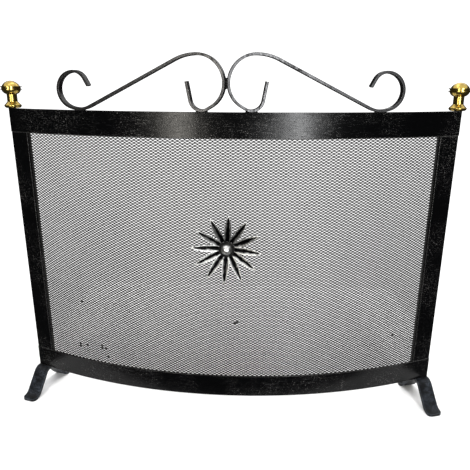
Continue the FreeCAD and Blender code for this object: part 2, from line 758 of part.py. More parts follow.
def make_collar_and_boss():
    hole, hub = size("bolt_radius") + size("bolt_fit"), size("hub_radius")
    seat = -size("hub_thickness")
    face = seat - size("collar_thickness")
    rim = face - size("collar_rim_height")
    rim_inner = hub - size("collar_rim_width")
    turned_piece("rosette_collar", [(seat, hole), (seat, hub), (rim, hub), (rim, rim_inner),
                                    (face, rim_inner), (face, hole)])
    boss, crown = size("boss_radius"), face - size("boss_height")
    bore_end = face - size("bolt_in_boss") - size("stud_end_gap")
    cap_over, cap_up = cap_middle(boss, size("boss_height") - size("boss_skirt"))
    shoulder = face - size("boss_skirt")
    turned_piece("rosette_boss", [
        (face, hole),
        (face, boss),
        (shoulder, boss),
        (crown, NOTHING, (shoulder - cap_up, cap_over), ACROSS_AXIS),
        (bore_end, NOTHING),
        (bore_end, hole),
    ])


def make_bolt():
    """A plain stud from inside the boss, through the mesh, to just past the nut."""
    front = -(size("hub_thickness") + size("collar_thickness") + size("bolt_in_boss"))
    rear = (size("mesh_thickness") + size("washer_gap") + size("washer_thickness")
            + size("nut_thickness") + size("bolt_tail"))
    bolt = doc.addObject("Part::Cylinder", "rosette_bolt")
    bolt.Label = "rosette_bolt"
    bolt.setExpression("Radius", size("bolt_radius").text)
    bolt.setExpression("Height", (rear - front).text)
    turn(bolt, X_AXIS, -QUARTER)
    place(bolt, back=mesh_front + front, up=rosette_centre)


def make_washer_and_nut():
    hole = size("bolt_radius") + size("bolt_fit")
    washer_front = size("mesh_thickness") + size("washer_gap")
    nut_front = washer_front + size("washer_thickness")
    washer = new_body("rosette_washer")
    ring = new_sketch(washer, "ring", "XZ_Plane")
    for index, radius in enumerate((size("washer_radius"), hole)):
        ring.addGeometry(Part.Circle(ORIGIN, Z_AXIS, radius.number))
        fix(ring, "Coincident", index, CENTRE, -1, START)
        drive(ring, radius, "Radius", index)
    pad(washer, ring, size("washer_thickness"))
    place(washer, back=mesh_front + nut_front, up=rosette_centre)
    nut = new_body("rosette_nut")
    hexagon = new_sketch(nut, "hexagon", "XZ_Plane")
    corner_radius = size("nut_across_flats") / 2 / cosine(as_size(HEX_STEP / 2))
    sides = range(2 * HALF // HEX_STEP)
    corners = [arc_of(0, 0, corner_radius.number, HEX_STEP * side, HEX_STEP * (side + 1)).StartPoint
               for side in sides]
    for side in sides:
        hexagon.addGeometry(Part.LineSegment(corners[side], corners[(side + 1) % len(sides)]))
    guide, bore = len(sides), len(sides) + 1
    hexagon.addGeometry(Part.Circle(ORIGIN, Z_AXIS, corner_radius.number), True)
    hexagon.addGeometry(Part.Circle(ORIGIN, Z_AXIS, hole.number))
    for circle, radius in ((guide, corner_radius), (bore, hole)):
        fix(hexagon, "Coincident", circle, CENTRE, -1, START)
        drive(hexagon, radius, "Radius", circle)
    for side in sides:
        fix(hexagon, "Coincident", side, END, (side + 1) % len(sides), START)
        fix(hexagon, "PointOnObject", side, START, guide)
    for side in sides[1:]:
        fix(hexagon, "Equal", 0, side)
    fix(hexagon, "PointOnObject", 0, START, ACROSS_AXIS)
    pad(nut, hexagon, size("nut_thickness"))
    place(nut, back=mesh_front + nut_front + size("nut_thickness"), up=rosette_centre)


# ---- feet: a flat bar arched from a front toe, under the bottom rail, to a rear toe

def draw_foot(sketch):
    """
    Side outline of the arch, its flat top at z = 0 and its toes on the floor.  Both toes turn out
    flat.  The outline runs round the upper face from the rear toe to the front one and back below.
    """
    thick = size("foot_thickness").number
    flat, toe = size("foot_flat").number / 2, size("foot_toe_flat").number
    shoulder, ankle = size("foot_shoulder_radius").number, size("foot_ankle_radius").number
    fall = slope.number
    floor = -size("ground_clearance").number
    reach = foot_reach.number
    half_thick = thick / 2
    pieces = []
    for face, rise in ((1, half_thick), (-1, -half_thick)):
        outer_shoulder = shoulder + rise
        inner_ankle = ankle - rise
        shoulder_centre = -half_thick - shoulder
        ankle_centre = floor + half_thick + ankle
        front_shoulder = arc_of(flat, shoulder_centre, outer_shoulder, QUARTER - fall, QUARTER)
        front_ankle = arc_of(reach - toe, ankle_centre, inner_ankle, 3 * QUARTER - fall, 3 * QUARTER)
        rear_shoulder = arc_of(-flat, shoulder_centre, outer_shoulder, QUARTER, QUARTER + fall)
        rear_ankle = arc_of(toe - reach, ankle_centre, inner_ankle, 3 * QUARTER, 3 * QUARTER + fall)
        level = floor + half_thick + rise
        tip, rear_tip = FreeCAD.Vector(reach, level, 0), FreeCAD.Vector(-reach, level, 0)
        pieces.append([
            Part.LineSegment(rear_tip, rear_ankle.StartPoint),
            rear_ankle,
            Part.LineSegment(rear_ankle.EndPoint, rear_shoulder.EndPoint),
            rear_shoulder,
            Part.LineSegment(rear_shoulder.StartPoint, front_shoulder.EndPoint),
            front_shoulder,
            Part.LineSegment(front_shoulder.StartPoint, front_ankle.StartPoint),
            front_ankle,
            Part.LineSegment(front_ankle.EndPoint, tip),
        ])
    upper, lower = pieces
    sketch.addGeometry(upper)
    sketch.addGeometry(lower)
    count = len(upper)
    sketch.addGeometry(Part.LineSegment(upper[0].StartPoint, lower[0].StartPoint))
    sketch.addGeometry(Part.LineSegment(upper[-1].EndPoint, lower[-1].EndPoint))
    backward_arcs = {3, 5}
    flats, bends = (0, 4, 8), (1, 3, 5, 7)
    for base in (0, count):
        for index in range(count - 1):
            leave = START if index in backward_arcs else END
            enter = END if index + 1 in backward_arcs else START
            fix(sketch, "Tangent", base + index, leave, base + index + 1, enter)
        for index in flats:
            fix(sketch, "Horizontal", base + index)
        for index in bends:
            outer = size("foot_shoulder_radius") if index in backward_arcs else size("foot_ankle_radius")
            away = 1 if (index in backward_arcs) == (base == 0) else -1
            drive(sketch, outer + size("foot_thickness") * (away / 2), "Radius", base + index)
        fix(sketch, "Symmetric", base, START, base + flats[-1], END, UP_AXIS)
        fix(sketch, "Equal", base, base + flats[-1])
    rear_end, front_end = 2 * count, 2 * count + 1
    fix(sketch, "Coincident", rear_end, START, 0, START)
    fix(sketch, "Coincident", rear_end, END, count, START)
    fix(sketch, "Coincident", front_end, START, count - 1, END)
    fix(sketch, "Coincident", front_end, END, 2 * count - 1, END)
    fix(sketch, "PointOnObject", flats[1], START, ACROSS_AXIS)


def make_feet():
    for side, name in SIDE_NAMES.items():
        foot = new_body(f"{name}_foot")
        outline = new_sketch(foot, "outline", "YZ_Plane")
        draw_foot(outline)
        pad(foot, outline, size("foot_width"), midplane=True)
        doc.recompute()
        shape = foot.Shape
        reach, thick = foot_reach.number, size("foot_thickness").number
        upright = [f"Edge{i + 1}" for i, edge in enumerate(shape.Edges)
                   if abs(abs(edge.CenterOfMass.y) - reach) < POINT_MATCH
                   and abs(edge.Length - thick) < POINT_MATCH]
        if len(upright) != TOE_CORNERS:
            raise RuntimeError(f"expected the four corners of the toes, found {len(upright)}")
        round_edges(foot, size("foot_toe_round"), upright)
        turn(foot, Z_AXIS, side * size("foot_splay").number)
        place(foot, foot_across * side, foot_back, size("ground_clearance"))


# ---- build, check and write

make_frame()
make_mesh()
make_strips()
scroll_path = ScrollPath()
plane_lean, meeting_y, side_offset = scroll_plane(scroll_path)
make_scrolls(scroll_path, plane_lean, meeting_y, side_offset)
make_tie(plane_lean, meeting_y, side_offset)
make_scroll_welds(scroll_path, plane_lean, meeting_y, side_offset)
make_finials()
make_flower()
make_collar_and_boss()
make_bolt()
make_washer_and_nut()
make_feet()
doc.recompute()

NODES = [
    "top_rail", "bottom_rail", "left_stile", "right_stile",
    "mesh_panel", "top_strip", "bottom_strip", "left_strip", "right_strip",
    "left_scroll", "right_scroll", "scroll_tie", "scroll_welds",
    "left_finial", "right_finial", "left_finial_stud", "right_finial_stud",
    "rosette_flower", "rosette_collar", "rosette_boss", "rosette_bolt", "rosette_washer", "rosette_nut",
    "left_foot", "right_foot",
]

failed = [item.Label for item in doc.Objects if {"Invalid", "Error"} & set(item.State)]
if failed:
    raise RuntimeError(f"these objects failed: {failed}")
os.makedirs("parts", exist_ok=True)
for node in NODES:
    piece = doc.getObjectsByLabel(node)[0]
    if piece.Shape.isNull() or not piece.Shape.isValid() or not piece.Shape.Solids:
        raise RuntimeError(f"{node} has no valid solid")
    piece.Shape.exportStep(f"parts/{node}.step")
whole = Part.makeCompound([doc.getObjectsByLabel(node)[0].Shape for node in NODES]).optimalBoundingBox()
print(f"{len(NODES)} nodes, {whole.XLength:.2f} x {whole.YLength:.2f} x {whole.ZLength:.2f} mm")
print(f"middle of the base at x {whole.Center.x:.4f}, y {whole.Center.y:.4f}, lowest z {whole.ZMin:.4f}")
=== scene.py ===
import bpy
import bmesh
import math
import random
from mathutils import Matrix, Vector, noise


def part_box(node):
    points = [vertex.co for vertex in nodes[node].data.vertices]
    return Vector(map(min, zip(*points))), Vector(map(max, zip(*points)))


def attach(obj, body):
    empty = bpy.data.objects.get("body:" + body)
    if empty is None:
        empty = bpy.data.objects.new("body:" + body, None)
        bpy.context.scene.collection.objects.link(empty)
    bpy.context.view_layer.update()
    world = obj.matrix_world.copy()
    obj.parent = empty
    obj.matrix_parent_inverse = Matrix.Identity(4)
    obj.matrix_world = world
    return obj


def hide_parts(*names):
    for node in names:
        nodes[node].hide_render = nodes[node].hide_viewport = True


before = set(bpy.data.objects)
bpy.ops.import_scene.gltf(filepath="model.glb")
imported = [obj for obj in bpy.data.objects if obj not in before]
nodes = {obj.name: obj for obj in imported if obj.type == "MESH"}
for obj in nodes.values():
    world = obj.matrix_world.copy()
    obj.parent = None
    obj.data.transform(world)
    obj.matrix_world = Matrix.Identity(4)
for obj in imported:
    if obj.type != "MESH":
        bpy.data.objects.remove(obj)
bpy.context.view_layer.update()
print("frame loaded:", len(nodes), "nodes")


# the bow that the mesh follows, read from the frame
def bowOf(node):
    # the circle through a bowed sheet's front face, from its width and how far it bows
    low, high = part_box(node)
    corner = max((vert.co for vert in nodes[node].data.vertices), key=lambda point: point.x)
    rise = corner.y - low.y
    radius = (corner.x * corner.x + rise * rise) / (2 * rise)
    return radius, low.y + radius


bowRadius, bowCentreY = bowOf("mesh_panel")
print("mesh bow radius", round(bowRadius * 1000, 2), "mm")


# small helpers for node trees and meshes
def putNode(tree, kind, **settings):
    node = tree.nodes.new(kind)
    for name, value in settings.items():
        setattr(node, name, value)
    return node


def wire(tree, source, target):
    tree.links.new(source, target)


def newFinish(name, **values):
    # a material with its plain numbers set on the shader's own sockets
    finish = bpy.data.materials.new(name)
    finish.use_nodes = True
    shader = finish.node_tree.nodes["Principled BSDF"]
    for socket, value in values.items():
        shader.inputs[socket.replace("_", " ")].default_value = value
    return finish, finish.node_tree, shader


def cloud(tree, scale, detail=4.0, rough=0.55, warp=0.0, stretch=(1, 1, 1), turn=(0, 0, 0)):
    # a noise field in the object's own space
    coordinates = putNode(tree, "ShaderNodeTexCoord")
    mapping = putNode(tree, "ShaderNodeMapping")
    mapping.inputs["Scale"].default_value = stretch
    mapping.inputs["Rotation"].default_value = turn
    wire(tree, coordinates.outputs["Object"], mapping.inputs["Vector"])
    field = putNode(tree, "ShaderNodeTexNoise")
    field.inputs["Scale"].default_value = scale
    field.inputs["Detail"].default_value = detail
    field.inputs["Roughness"].default_value = rough
    field.inputs["Distortion"].default_value = warp
    wire(tree, mapping.outputs["Vector"], field.inputs["Vector"])
    return field.outputs["Fac"]


def spread(tree, value, low, high, start=0.0, end=1.0):
    # stretches the part of a field between low and high to start..end
    ranged = putNode(tree, "ShaderNodeMapRange", clamp=True)
    for socket, number in zip(("From Min", "From Max", "To Min", "To Max"),
                              (low, high, start, end)):
        ranged.inputs[socket].default_value = number
    wire(tree, value, ranged.inputs["Value"])
    return ranged.outputs["Result"]


def combine(tree, how, one, other=0):
    joined = putNode(tree, "ShaderNodeMath", operation=how)
    for socket, value in zip(joined.inputs, (one, other)):
        if isinstance(value, (int, float)):
            socket.default_value = value
        else:
            wire(tree, value, socket)
    return joined.outputs["Value"]


def tint(tree, share, base, cover):
    # base colour where share is 0, cover colour where it is 1
    mixer = putNode(tree, "ShaderNodeMix", data_type="RGBA")
    wire(tree, share, mixer.inputs["Factor"])
    for socket, colour in ((mixer.inputs[6], base), (mixer.inputs[7], cover)):
        if isinstance(colour, tuple):
            socket.default_value = (*colour, 1.0)
        else:
            wire(tree, colour, socket)
    return mixer.outputs[2]


def roughen(tree, shader, height, strength, depth):
    bump = putNode(tree, "ShaderNodeBump")
    bump.inputs["Strength"].default_value = strength
    bump.inputs["Distance"].default_value = depth
    wire(tree, height, bump.inputs["Height"])
    wire(tree, bump.outputs["Normal"], shader.inputs["Normal"])


def cornerFactor(tree, radius, low, high):
    # 1 on corners; it lightens the corners as rubbed wear, and on the black paint and the drawn
    # steel also as a painted highlight on the lit edges
    corner = putNode(tree, "ShaderNodeBevel", samples=6)
    corner.inputs["Radius"].default_value = radius
    surface = putNode(tree, "ShaderNodeNewGeometry")
    turned = putNode(tree, "ShaderNodeVectorMath", operation="DOT_PRODUCT")
    wire(tree, corner.outputs["Normal"], turned.inputs[0])
    wire(tree, surface.outputs["Normal"], turned.inputs[1])
    return spread(tree, turned.outputs["Value"], high, low)


def addToScene(thing):
    bpy.context.scene.collection.objects.link(thing)
    return thing


def dress(names, finish):
    for name in names:
        data = nodes[name].data
        data.materials.clear()
        data.materials.append(finish)


def addPiece(name, mesh, finish=None, replaced=()):
    # a visible piece on the one body; a mesh that already carries its finish comes without one
    piece = addToScene(bpy.data.objects.new(name, mesh))
    if finish is not None:
        mesh.materials.append(finish)
    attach(piece, "root")
    if replaced:
        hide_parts(*replaced)


def keepShell(shell, name, smooth=False):
    # turns a finished bmesh into a mesh of its own
    for face in shell.faces:
        face.smooth = smooth
    mesh = bpy.data.meshes.new(name)
    shell.to_mesh(mesh)
    shell.free()
    return mesh


def joinRings(shell, first, second):
    # a closed band of faces between two rings of as many points
    made = []
    for index in range(len(first)):
        following = (index + 1) % len(first)
        made.append(shell.faces.new((first[index], first[following],
                                     second[following], second[index])))
    return made


# finishes: colours, noise fields by the arguments of cloud, and how each field is stretched,
# as (low, high) or (low, high, start, end); bump is (strength, depth)
blackPaint = {
    "base": (0.0008, 0.00085, 0.001), "scuff": (0.06, 0.06, 0.061),
    # edge: the corners' colour, rubbed paint and a painted highlight along the lit edges
    "dust": (0.15, 0.145, 0.14), "edge": (0.13, 0.128, 0.125), "specular": 0.16,
    "broad": {"scale": 14.0, "detail": 5.0},
    "along": {"scale": 5.0, "rough": 0.7, "warp": 0.2, "stretch": (9, 40, 420)},
    "across": {"scale": 4.0, "detail": 3.0, "rough": 0.65, "warp": 0.5,
               "stretch": (40, 40, 300), "turn": (0, 0.9, 0)},
    "speck": {"scale": 820.0, "detail": 2.0, "rough": 0.6},
    "grain": {"scale": 260.0, "detail": 3.0},
    "alongScuffs": (0.61, 0.70), "acrossScuffs": (0.63, 0.72),
    "scuffPatches": (0.4, 0.66, 0.05, 0.9),
    "edgeRadius": 0.0012, "edgeTurn": (0.86, 0.985), "edgePatches": (0.3, 0.6, 0.25, 1.0),
    "chips": (0.64, 0.7), "chipPatches": (0.45, 0.6),
    "roughness": (0.3, 0.7, 0.11, 0.24), "scuffDulling": 0.29, "bump": (0.28, 0.0002)}


def makeBlackPaint():
    look = blackPaint
    finish, tree, shader = newFinish("blackPaint", Specular_IOR_Level=look["specular"])
    broad = cloud(tree, **look["broad"])
    lines = combine(tree, "MAXIMUM",
                    spread(tree, cloud(tree, **look["along"]), *look["alongScuffs"]),
                    spread(tree, cloud(tree, **look["across"]), *look["acrossScuffs"]))
    worn = combine(tree, "MULTIPLY", lines, spread(tree, broad, *look["scuffPatches"]))
    cornerMask = combine(tree, "MULTIPLY", cornerFactor(tree, look["edgeRadius"], *look["edgeTurn"]),
                     spread(tree, broad, *look["edgePatches"]))
    chips = combine(tree, "MULTIPLY", spread(tree, cloud(tree, **look["speck"]), *look["chips"]),
                    spread(tree, broad, *look["chipPatches"]))
    colour = tint(tree, worn, look["base"], look["scuff"])
    # corners lighter: rubbed paint and a painted highlight where the bar's edge catches the light
    colour = tint(tree, cornerMask, colour, look["edge"])
    wire(tree, tint(tree, chips, colour, look["dust"]), shader.inputs["Base Color"])
    wire(tree, combine(tree, "ADD", spread(tree, broad, *look["roughness"]),
                       combine(tree, "MULTIPLY", worn, look["scuffDulling"])),
         shader.inputs["Roughness"])
    height = combine(tree, "SUBTRACT", cloud(tree, **look["grain"]), worn)
    roughen(tree, shader, height, *look["bump"])
    return finish


footWear = {
    "base": (0.0012, 0.0015, 0.002), "worn": (0.06, 0.07, 0.088), "specular": 0.12,
    "broad": {"scale": 60.0, "detail": 6.0, "rough": 0.62}, "fine": {"scale": 620.0, "rough": 0.7},
    "broadMottle": (0.44, 0.68), "fineMottle": (0.47, 0.6),
    "edgeRadius": 0.0011, "edgeTurn": (0.86, 0.985), "edgePatches": (0.35, 0.55, 0.3, 1.0),
    "roughness": (0.3, 0.7, 0.3, 0.6), "bump": (0.5, 0.00025)}


def makeFootPaint():
    look = footWear
    finish, tree, shader = newFinish("footPaint", Specular_IOR_Level=look["specular"])
    broad = cloud(tree, **look["broad"])
    fine = cloud(tree, **look["fine"])
    mottle = combine(tree, "MULTIPLY", spread(tree, broad, *look["broadMottle"]),
                     spread(tree, fine, *look["fineMottle"]))
    cornerMask = combine(tree, "MULTIPLY", cornerFactor(tree, look["edgeRadius"], *look["edgeTurn"]),
                     spread(tree, fine, *look["edgePatches"]))
    worn = combine(tree, "MAXIMUM", mottle, cornerMask)
    wire(tree, tint(tree, worn, look["base"], look["worn"]), shader.inputs["Base Color"])
    wire(tree, spread(tree, fine, *look["roughness"]), shader.inputs["Roughness"])
    roughen(tree, shader, combine(tree, "ADD", fine, worn), *look["bump"])
    return finish


meshWear = {
    "clean": (0.006, 0.006, 0.006), "dusty": (0.03, 0.029, 0.028), "specular": 0.25,
    "broad": {"scale": 18.0}, "fine": {"scale": 700.0, "detail": 2.0},
    "broadDust": (0.42, 0.68), "fineDust": (0.4, 0.62),
    "roughness": (0.3, 0.7, 0.38, 0.6), "bump": (0.3, 0.0001)}


def makeMeshPaint():
    look = meshWear
    finish, tree, shader = newFinish("meshPaint", Specular_IOR_Level=look["specular"])
    fine = cloud(tree, **look["fine"])
    dust = combine(tree, "MULTIPLY", spread(tree, cloud(tree, **look["broad"]), *look["broadDust"]),
                   spread(tree, fine, *look["fineDust"]))
    wire(tree, tint(tree, dust, look["clean"], look["dusty"]), shader.inputs["Base Color"])
    wire(tree, spread(tree, fine, *look["roughness"]), shader.inputs["Roughness"])
    roughen(tree, shader, fine, *look["bump"])
    return finish


drawnSteel = {
    # edge: painted highlight along the strip's corners, with some rubbed wear
    "bright": (0.048, 0.048, 0.049), "dark": (0.009, 0.009, 0.009), "edge": (0.26, 0.26, 0.255),
    "broad": {"scale": 38.0, "warp": 0.3},
    "streak": {"scale": 150.0, "rough": 0.65, "warp": 0.4, "stretch": (1, 8, 1)},
    "grain": {"scale": 700.0, "detail": 3.0, "stretch": (1, 9, 1)},
    "broadScale": (0.40, 0.66), "streakScale": (0.35, 0.7), "grainDark": (0.35, 0.7, 0.0, 0.25),
    "edgeRadius": 0.0008, "edgeTurn": (0.8, 0.97), "edgePatches": (0.35, 0.6, 0.3, 1.0),
    "roughness": (0.3, 0.7, 0.25, 0.38), "scaleDulling": 0.15, "bump": (0.08, 0.0001)}


def makeDrawnSteel():
    look = drawnSteel
    finish, tree, shader = newFinish("drawnSteel", Metallic=1.0)
    broad = cloud(tree, **look["broad"])
    streak = cloud(tree, **look["streak"])
    grain = cloud(tree, **look["grain"])
    scale = combine(tree, "MULTIPLY", spread(tree, broad, *look["broadScale"]),
                    spread(tree, streak, *look["streakScale"]))
    dark = combine(tree, "ADD", scale, spread(tree, grain, *look["grainDark"]))
    cornerMask = combine(tree, "MULTIPLY", cornerFactor(tree, look["edgeRadius"], *look["edgeTurn"]),
                     spread(tree, broad, *look["edgePatches"]))
    body = tint(tree, dark, look["bright"], look["dark"])
    # corners painted lighter as the strip edges' highlight, with some rubbed wear
    wire(tree, tint(tree, cornerMask, body, look["edge"]), shader.inputs["Base Color"])
    wire(tree, combine(tree, "ADD", spread(tree, streak, *look["roughness"]),
                       combine(tree, "MULTIPLY", scale, look["scaleDulling"])),
         shader.inputs["Roughness"])
    roughen(tree, shader, grain, *look["bump"])
    return finish


polishedBrass = {
    "clean": (0.37, 0.265, 0.066), "tarnished": (0.11, 0.07, 0.014),
    "broad": {"scale": 90.0, "rough": 0.6, "warp": 0.5},
    "turned": {"scale": 260.0, "detail": 2.0, "stretch": (1, 1, 30)},
    "tarnish": (0.5, 0.78), "roughness": (0.35, 0.8, 0.14, 0.34), "turnedDulling": 0.06,
    "bump": (0.06, 0.00005)}


def makeBrass():
    look = polishedBrass
    finish, tree, shader = newFinish("polishedBrass", Metallic=1.0)
    broad = cloud(tree, **look["broad"])
    turned = cloud(tree, **look["turned"])
    tarnish = spread(tree, broad, *look["tarnish"])
    wire(tree, tint(tree, tarnish, look["clean"], look["tarnished"]), shader.inputs["Base Color"])
    wire(tree, combine(tree, "ADD", spread(tree, broad, *look["roughness"]),
                       combine(tree, "MULTIPLY", turned, look["turnedDulling"])),
         shader.inputs["Roughness"])
    roughen(tree, shader, turned, *look["bump"])
    return finish


antiqueSteel = {
    # bright: rubbed metal and painted highlight; dark: patina and painted shade
    "bright": (0.5, 0.5, 0.49), "dark": (0.0015, 0.0015, 0.0018),
    "broad": {"scale": 120.0, "detail": 5.0, "rough": 0.6, "warp": 0.4},
    "fine": {"scale": 900.0, "detail": 3.0, "rough": 0.6},
    "dirtPatches": (0.35, 0.7, -0.12, 0.16), "dirtAndPaintedLight": (0.34, 0.6),
    "roughness": (0.0, 1.0, 0.32, 0.42), "bump": (0.45, 0.0003)}


def makeAntiqueSteel():
    # bright where it is rubbed and, as a painted highlight, on the petals' rims and tips; near
    # black as patina and painted shade in the roots and along the gutters of the petals
    look = antiqueSteel
    finish, tree, shader = newFinish("antiqueSteel", Metallic=1.0)
    patinaAndPaintedLight = putNode(tree, "ShaderNodeAttribute", attribute_name="patinaAndPaintedLight")
    broad = cloud(tree, **look["broad"])
    # the petals' patina with painted shade and highlight, plus random dirt patches
    dirtAndPaintedLight = combine(tree, "ADD", patinaAndPaintedLight.outputs["Fac"], spread(tree, broad, *look["dirtPatches"]))
    dirtAndPaintedLight = spread(tree, dirtAndPaintedLight, *look["dirtAndPaintedLight"])
    wire(tree, tint(tree, dirtAndPaintedLight, look["bright"], look["dark"]), shader.inputs["Base Color"])
    wire(tree, spread(tree, dirtAndPaintedLight, *look["roughness"]), shader.inputs["Roughness"])
    height = combine(tree, "ADD", cloud(tree, **look["fine"]), broad)
    roughen(tree, shader, height, *look["bump"])
    return finish


darkIron = {
    "dark": (0.003, 0.003, 0.0032), "worn": (0.022, 0.021, 0.02),
    "metallic": 0.6, "specular": 0.15,
    "broad": {"scale": 150.0}, "fine": {"scale": 800.0, "detail": 3.0},
    "wear": (0.45, 0.7), "roughness": (0.3, 0.7, 0.32, 0.6), "bump": (0.6, 0.0003)}


def makeDarkIron():
    look = darkIron
    finish, tree, shader = newFinish("darkIron", Metallic=look["metallic"],
                                     Specular_IOR_Level=look["specular"])
    broad = cloud(tree, **look["broad"])
    fine = cloud(tree, **look["fine"])
    wear = spread(tree, broad, *look["wear"])
    wire(tree, tint(tree, wear, look["dark"], look["worn"]), shader.inputs["Base Color"])
    wire(tree, spread(tree, fine, *look["roughness"]), shader.inputs["Roughness"])
    roughen(tree, shader, combine(tree, "ADD", fine, broad), *look["bump"])
    return finish


fixingSteel = {
    "clean": (0.38, 0.37, 0.35), "rusty": (0.12, 0.10, 0.085),
    "broad": {"scale": 200.0}, "ridges": {"scale": 300.0, "detail": 2.0, "stretch": (1, 14, 1)},
    "rust": (0.4, 0.7), "roughness": (0.3, 0.7, 0.28, 0.5), "bump": (0.3, 0.0001)}


def makeFixingSteel():
    look = fixingSteel
    finish, tree, shader = newFinish("fixingSteel", Metallic=1.0)
    ridges = cloud(tree, **look["ridges"])
    rust = spread(tree, cloud(tree, **look["broad"]), *look["rust"])
    wire(tree, tint(tree, rust, look["clean"], look["rusty"]), shader.inputs["Base Color"])
    wire(tree, spread(tree, ridges, *look["roughness"]), shader.inputs["Roughness"])
    roughen(tree, shader, ridges, *look["bump"])
    return finish


meshPaint, antique, iron = makeMeshPaint(), makeAntiqueSteel(), makeDarkIron()
dress(["top_rail", "bottom_rail", "left_stile", "right_stile", "top_strip", "bottom_strip",
       "left_strip", "right_strip"], makeBlackPaint())
dress(["left_foot", "right_foot"], makeFootPaint())
dress(["left_scroll", "right_scroll"], makeDrawnSteel())
dress(["left_finial", "right_finial"], makeBrass())
dress(["rosette_boss"], antique)
dress(["rosette_collar"], iron)
dress(["rosette_bolt", "rosette_washer", "rosette_nut", "left_finial_stud", "right_finial_stud"],
      makeFixingSteel())
print("finishes made:", len(bpy.data.materials))


# geometry trees shared by the mesh sheet and the rosette
def newTree(name, inputs):
    # a geometry tree with its (label, kind) inputs, and the sockets' own names by label
    tree = bpy.data.node_groups.new(name, "GeometryNodeTree")
    sockets = {label: tree.interface.new_socket(label, in_out="INPUT", socket_type=kind).identifier
               for label, kind in inputs}
    tree.interface.new_socket("Geometry", in_out="OUTPUT", socket_type="NodeSocketGeometry")
    return tree, sockets, putNode(tree, "NodeGroupInput").outputs


def copyTo(tree, places, unit, rotation=None):
    # real copies of one object's mesh on points
    source = putNode(tree, "GeometryNodeObjectInfo", transform_space="ORIGINAL")
    wire(tree, unit, source.inputs["Object"])
    copies = putNode(tree, "GeometryNodeInstanceOnPoints")
    wire(tree, places, copies.inputs["Points"])
    wire(tree, source.outputs["Geometry"], copies.inputs["Instance"])
    if rotation is not None:
        wire(tree, rotation, copies.inputs["Rotation"])
    real = putNode(tree, "GeometryNodeRealizeInstances")
    wire(tree, copies.outputs["Instances"], real.inputs["Geometry"])
    return real.outputs["Geometry"]


def moveTo(tree, geometry, x, y, z):
    place = putNode(tree, "ShaderNodeCombineXYZ")
    for axis, value in (("X", x), ("Y", y), ("Z", z)):
        if value is not None:
            wire(tree, value, place.inputs[axis])
    moved = putNode(tree, "GeometryNodeSetPosition")
    wire(tree, geometry, moved.inputs["Geometry"])
    wire(tree, place.outputs["Vector"], moved.inputs["Position"])
    return moved.outputs["Geometry"]


def closeTree(tree, geometry, finish):
    painted = putNode(tree, "GeometryNodeSetMaterial")
    wire(tree, geometry, painted.inputs["Geometry"])
    wire(tree, finish, painted.inputs["Material"])
    result = putNode(tree, "NodeGroupOutput")
    wire(tree, painted.outputs["Geometry"], result.inputs["Geometry"])


def bakeTree(name, tree, sockets, values):
    # runs a tree on an empty mesh and keeps what it makes as a plain mesh
    holder = addToScene(bpy.data.objects.new("holder", bpy.data.meshes.new("holder")))
    modifier = holder.modifiers.new("tree", "NODES")
    modifier.node_group = tree
    for label, value in values.items():
        modifier[sockets[label]] = value
    evaluated = holder.evaluated_get(bpy.context.evaluated_depsgraph_get())
    mesh = bpy.data.meshes.new_from_object(evaluated)
    bpy.data.objects.remove(holder)
    mesh.name = name
    return mesh


# expanded metal: slit sheet pulled open into diamonds, then rolled to the bow
meshSheet = {"longWay": 0.0064, "shortWay": 0.00383, "strandWidth": 0.00126,
             "strandThickness": 0.00032, "strandLean": 0.00013, "bondHalf": 0.00045,
             "edgeGap": 0.0004, "behindFace": 0.0003, "mergeWithin": 0.00002, "bands": 4}


def strandUnit(pitchX, pitchZ):
    # one V of a strip: two strands of leaning section between the flats that join its neighbours
    halfWidth, halfThick = meshSheet["strandWidth"] / 2, meshSheet["strandThickness"] / 2
    lean, flat = meshSheet["strandLean"], meshSheet["bondHalf"]
    rise = pitchZ / 4 - halfWidth
    bends = ((-flat, -rise), (flat, -rise), (pitchX / 2 - flat, rise), (pitchX / 2 + flat, rise),
             (pitchX - flat, -rise))
    corners = ((halfWidth, lean - halfThick), (halfWidth, lean + halfThick),
               (-halfWidth, halfThick - lean), (-halfWidth, -halfThick - lean))
    shell = bmesh.new()
    rings = [[shell.verts.new((across - pitchX / 2, back, up + over)) for over, back in corners]
             for across, up in bends]
    for first, second in zip(rings, rings[1:]):
        joinRings(shell, first, second)
    bmesh.ops.recalc_face_normals(shell, faces=shell.faces)
    return keepShell(shell, "strandUnit")


